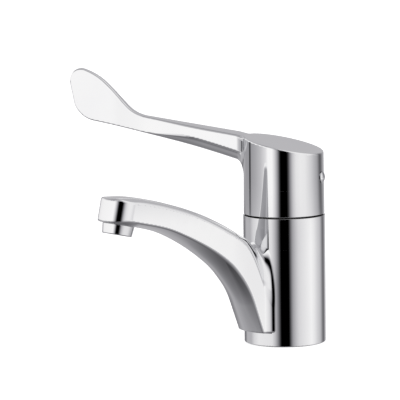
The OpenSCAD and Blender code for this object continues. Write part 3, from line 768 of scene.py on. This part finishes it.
# Wire screen: fine steel wires laid crosswise in a round bead.
# It lies over the flow regulator and keeps grit out, under a rubber washer that seals the collar.
dress("aerator_seal", black_rubber)
wires = Growth("woven_wires", {"Reach": 0.0062, "Gap": 0.0006, "Wire": 0.00011, "Rim": 0.0003})
reach, gap = wires.given["Reach"], wires.given["Gap"]
spaces = wires.sum("FLOOR", wires.sum("DIVIDE", wires.sum("MULTIPLY", reach, 2.0), gap))
count = wires.sum("ADD", spaces, 1.0)
first_y = wires.sum("MULTIPLY", wires.sum("MULTIPLY", wires.sum("SUBTRACT", count, 1.0), gap), -0.5)
row = wires.step("GeometryNodeMeshLine", {
    "Count": count, "Start Location": wires.vector(Y=first_y), "Offset": wires.vector(Y=gap)})["Mesh"]
across = wires.step("ShaderNodeSeparateXYZ", {"Vector": wires.spot()})["Y"]
left = wires.sum("SUBTRACT", wires.sum("POWER", reach, 2.0), wires.sum("MULTIPLY", across, across))
length = wires.sum("MULTIPLY", wires.sum("SQRT", wires.sum("MAXIMUM", left, 0.0)), 2.0)
wire = wires.step("GeometryNodeMeshCylinder", {
    "Vertices": 8, "Radius": wires.given["Wire"], "Depth": 1.0})["Mesh"]
weft = wires.copies(row, wire, Rotation=(0, math.pi / 2, 0), Scale=wires.vector(X=1.0, Y=1.0, Z=length))
over = wires.vector(Z=wires.sum("MULTIPLY", wires.given["Wire"], 1.8))
warp = wires.step("GeometryNodeTransform", {
    "Geometry": weft, "Translation": over, "Rotation": (0, 0, math.pi / 2)})["Geometry"]
bead = wires.sweep(wires.circle(64, reach), wires.circle(12, wires.given["Rim"]))
screen = wires.grow("wire_screen", wires.joined(weft, warp, bead), ground_steel, in_outlet(0.0024))
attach(screen, "tap_body")
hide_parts("aerator_screen")

# Flow regulator and honeycomb: a green ring that evens the flow, and a grey comb that straightens the jet.
# Both are moulded in plastic and dropped into the collar, the comb lowest.
green_plastic = moulded("green_plastic", (0.03, 0.2, 0.08), (0.05, 0.28, 0.12), 900, 0.4, 5e-6)
dress("aerator_regulator", green_plastic)
grey_plastic = moulded("grey_plastic", (0.2, 0.21, 0.22), (0.26, 0.27, 0.28), 900, 0.4, 5e-6)
comb = Growth("honeycomb", {"Reach": 0.0066, "Pitch": 0.0019, "Wall": 0.00016, "Height": 0.0036})
pitch = comb.given["Pitch"]
rank = comb.sum("MULTIPLY", pitch, math.sqrt(0.75))
grid = comb.step("GeometryNodeMeshGrid", {
    "Size X": comb.sum("MULTIPLY", pitch, 8.0), "Size Y": comb.sum("MULTIPLY", rank, 8.0),
    "Vertices X": 9, "Vertices Y": 9})["Mesh"]
spot = comb.step("ShaderNodeSeparateXYZ", {"Vector": comb.spot()})
odd = comb.sum("FLOORED_MODULO", comb.sum("ROUND", comb.sum("DIVIDE", spot["Y"], rank)), 2.0)
shift = comb.vector(X=comb.sum("MULTIPLY", comb.sum("MULTIPLY", odd, pitch), 0.5))
ranks = comb.step("GeometryNodeSetPosition", {"Geometry": grid, "Offset": shift})["Geometry"]
away = comb.step("ShaderNodeVectorMath", {0: comb.spot()}, operation="LENGTH")["Value"]
limit = comb.sum("SUBTRACT", comb.given["Reach"], comb.sum("MULTIPLY", pitch, 0.62))
outer = {"Geometry": ranks, "Selection": comb.sum("GREATER_THAN", away, limit)}
cells = comb.step("GeometryNodeDeleteGeometry", outer, domain="POINT")["Geometry"]
hexagon = comb.circle(6, comb.sum("MULTIPLY", pitch, 0.525))
cell = comb.sweep(hexagon, comb.bar(comb.given["Wall"], comb.given["Height"]))
filled = comb.copies(cells, cell, Rotation=(0, 0, math.pi / 6))
band = comb.circle(96, comb.sum("SUBTRACT", comb.given["Reach"], 0.0004))
hoop = comb.sweep(band, comb.bar(0.0007, 0.0039))
honeycomb = comb.grow("honeycomb", comb.joined(filled, hoop), grey_plastic, in_outlet(-0.003))
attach(honeycomb, "tap_body")
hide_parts("aerator_insert")

# Room: a pale floor, and a soft studio round the tap.
# Two large white screens stand left and right of the camera, with a dark gap where the camera is.
FLOOR_HALF, FLOOR_Z = 12, -0.0002
floor_corners = [(a * FLOOR_HALF, b * FLOOR_HALF, FLOOR_Z) for a, b in ((-1, -1), (1, -1), (1, 1), (-1, 1))]
floor_mesh = bpy.data.meshes.new("floor")
floor_mesh.from_pydata(floor_corners, [], [(0, 1, 2, 3)])
floor = bpy.data.objects.new("floor", floor_mesh)
bpy.context.collection.objects.link(floor)
pale, tree, shader, place = finish_nodes("pale_floor")
paint = tinted(tree, cloud(tree, place, 3, 2), (0.9, 0.9, 0.9), (0.92, 0.92, 0.92))
tree.links.new(paint, shader.inputs["Base Color"])
shader.inputs["Roughness"].default_value = 0.9
shader.inputs["Specular IOR Level"].default_value = 0.0
shader.inputs["Emission Color"].default_value = (1, 1, 1, 1)
shader.inputs["Emission Strength"].default_value = 0.7
floor_mesh.materials.append(pale)
floor.visible_glossy = False

CAMERA_AT = (1.17177, -1.05007, 0.2869)
CAMERA_RIGHT = (0.644056, 0.764856, -0.013678)
CAMERA_UP = (-0.087537, 0.091451, 0.991955)
CAMERA_BACK = (0.759954, -0.637677, 0.125853)

world = bpy.data.worlds.new("studio")
bpy.context.scene.world = world
world.use_nodes = True
tree = world.node_tree
tree.nodes.clear()
node = tree.nodes.new


def maths(kind, a, b=None):
    step = node("ShaderNodeMath")
    step.operation = kind
    for socket, value in zip(step.inputs, (a, b)):
        if isinstance(value, (int, float)):
            socket.default_value = value
        elif value is not None:
            tree.links.new(value, socket)
    return step.outputs[0]


def brightness(value, stops):
    """A run of light levels over a value from 0 to 1."""
    ramp = node("ShaderNodeValToRGB")
    bar = ramp.color_ramp
    bar.elements.remove(bar.elements[1])
    bar.elements[0].position, bar.elements[0].color = stops[0][0], (stops[0][1],) * 3 + (1,)
    for at, level in stops[1:]:
        bar.elements.new(at).color = (level,) * 3 + (1,)
    tree.links.new(value, ramp.inputs["Fac"])
    return ramp.outputs["Color"]


def blended(amount, a, b):
    mix = node("ShaderNodeMix")
    mix.data_type = "RGBA"
    tree.links.new(amount, mix.inputs["Factor"])
    for socket, value in ((mix.inputs[6], a), (mix.inputs[7], b)):
        if isinstance(value, tuple):
            socket.default_value = value
        else:
            tree.links.new(value, socket)
    return mix.outputs[2]


facing = node("ShaderNodeVectorRotate")
facing.rotation_type = "Z_AXIS"
facing.inputs["Angle"].default_value = -math.atan2(CAMERA_AT[1], CAMERA_AT[0])
tree.links.new(node("ShaderNodeTexCoord").outputs["Generated"], facing.inputs["Vector"])
parts = node("ShaderNodeSeparateXYZ")
tree.links.new(facing.outputs["Vector"], parts.inputs["Vector"])
bearing = maths("ARCTAN2", parts.outputs["Y"], parts.outputs["X"])
round_about = maths("ADD", maths("DIVIDE", bearing, 2 * math.pi), 0.5)
upward = maths("ADD", maths("DIVIDE", maths("ARCSINE", parts.outputs["Z"]), math.pi), 0.5)


def around(*stops):
    """Light levels round the tap, in degrees from the camera, right-hand side positive."""
    return brightness(round_about, [(degrees / 360 + 0.5, level) for degrees, level in stops])


# The walls of the room, from low to high: white screens beside the camera, and greyer ones behind the tap.
low_walls = around(
    (-180, 0.55), (-162, 0.2), (-148, 0.22), (-135, 0.5), (-112, 0.5), (-98, 0.75), (-80, 0.9), (-46, 0.86),
    (-37, 0.82), (-28, 0.56), (-19, 0.22), (-14, 0.05), (-11, 0.0), (12, 0.0), (14, 0.045), (17, 0.15),
    (23, 0.39), (32, 0.6), (40, 0.75), (50, 0.83), (69, 0.95), (80, 1.02), (91, 0.92), (104, 0.73),
    (119, 0.56), (130, 0.25), (138, 0.15), (146, 0.25), (160, 0.7), (180, 0.55))
mid_walls = around(
    (-180, 0.52), (-152, 0.45), (-140, 0.9), (-110, 1.0), (-34, 1.05), (-26, 0.75), (-17, 0.28), (-12, 0.03),
    (-9, 0.0), (9, 0.0), (13, 0.05), (17, 0.23), (26, 0.64), (35, 0.86), (48, 0.95), (85, 0.9), (111, 0.45),
    (126, 0.13), (153, 0.45), (180, 0.52))
high_walls = around(
    (-180, 0.55), (-160, 0.45), (-136, 0.36), (-119, 0.36), (-117, 0.05), (-111, 0.05), (-108, 0.36),
    (-88, 0.45), (-70, 0.58), (-54, 0.8), (-46, 1.05), (-34, 1.05), (-26, 0.75), (-17, 0.28), (-12, 0.03),
    (-9, 0.0), (9, 0.0), (13, 0.05), (17, 0.23), (26, 0.64), (35, 0.86), (48, 0.93), (63, 0.9), (85, 0.69),
    (97, 0.54), (111, 0.39), (124, 0.13), (131, 0.12), (153, 0.45), (180, 0.55))
rise = brightness(upward, [(0.457, 0.0), (0.462, 1.0)])
middle = brightness(upward, [(0.474, 0.0), (0.484, 1.0)])
walls = blended(middle, blended(rise, low_walls, high_walls), mid_walls)

# The ceiling is pale, with a darker patch on the left.
ceiling = around(
    (-180, 0.52), (-120, 0.5), (-80, 0.42), (-66, 0.4), (-45, 0.42), (-36, 0.6), (-24, 0.5), (-10, 0.45),
    (10, 0.45), (26, 0.8), (45, 0.95), (95, 0.9), (125, 0.5), (180, 0.52))
dark_side = around((-118, 0.0), (-106, 1.0), (-52, 1.0), (-43, 0.0))
zenith = brightness(upward, [(0.8, 0.0), (0.87, 0.6), (0.95, 1.0)])
vault = blended(maths("MULTIPLY", zenith, dark_side), ceiling, (0.3, 0.3, 0.3, 1))
lift = brightness(upward, [(0.6, 0.0), (0.67, 1.0)])

# The ground is grey and darkens straight below, where the tap shades it.
below = around(
    (-180, 0.5), (-170, 0.45), (-162, 0.36), (-155, 0.3), (-148, 0.33), (-140, 0.4), (-131, 0.47),
    (-110, 0.4), (-84, 0.3), (-68, 0.3), (-56, 0.16), (-22, 0.12), (-12, 0.0), (12, 0.0), (24, 0.3),
    (40, 0.55), (95, 0.6), (115, 0.4), (160, 0.4), (180, 0.5))
depth = brightness(upward, [(0.0, 0.105), (0.056, 0.125), (0.122, 0.17), (0.167, 0.21), (0.222, 0.27),
                            (0.256, 0.34), (0.289, 0.4), (0.344, 0.43)])
shade = maths("MULTIPLY", depth, around((-75, 1.0), (-45, 0.6), (0, 0.6), (30, 1.0)))
nadir = brightness(upward, [(0.3, 1.0), (0.36, 0.0)])
sink = brightness(upward, [(0.37, 1.0), (0.42, 0.0)])
studio = blended(sink, blended(lift, walls, vault), blended(nadir, below, shade))

# The darker the light, the cooler it is, and the camera itself sees plain white behind the tap.
cool = node("ShaderNodeVectorMath")
cool.operation = "MULTIPLY"
tree.links.new(studio, cool.inputs[0])
tree.links.new(blended(studio, (1.016, 1.0, 1.075, 1), (1.01, 1.0, 0.998, 1)), cool.inputs[1])
rays = node("ShaderNodeLightPath")
seen = blended(rays.outputs["Is Camera Ray"], cool.outputs["Vector"], (1, 1, 1, 1))
glow = node("ShaderNodeBackground")
tree.links.new(seen, glow.inputs["Color"])
tree.links.new(glow.outputs["Background"], node("ShaderNodeOutputWorld").inputs["Surface"])
bpy.context.scene.view_settings.view_transform = "Standard"

lens = bpy.data.cameras.new("camera")
lens.lens, lens.sensor_width = 234.0, 36.0
lens.clip_start, lens.clip_end = 0.05, 60.0
camera = bpy.data.objects.new("camera", lens)
bpy.context.collection.objects.link(camera)
camera_axes = zip(CAMERA_RIGHT, CAMERA_UP, CAMERA_BACK, CAMERA_AT)
camera.matrix_world = Matrix([*camera_axes, (0, 0, 0, 1)])
bpy.context.scene.camera = camera
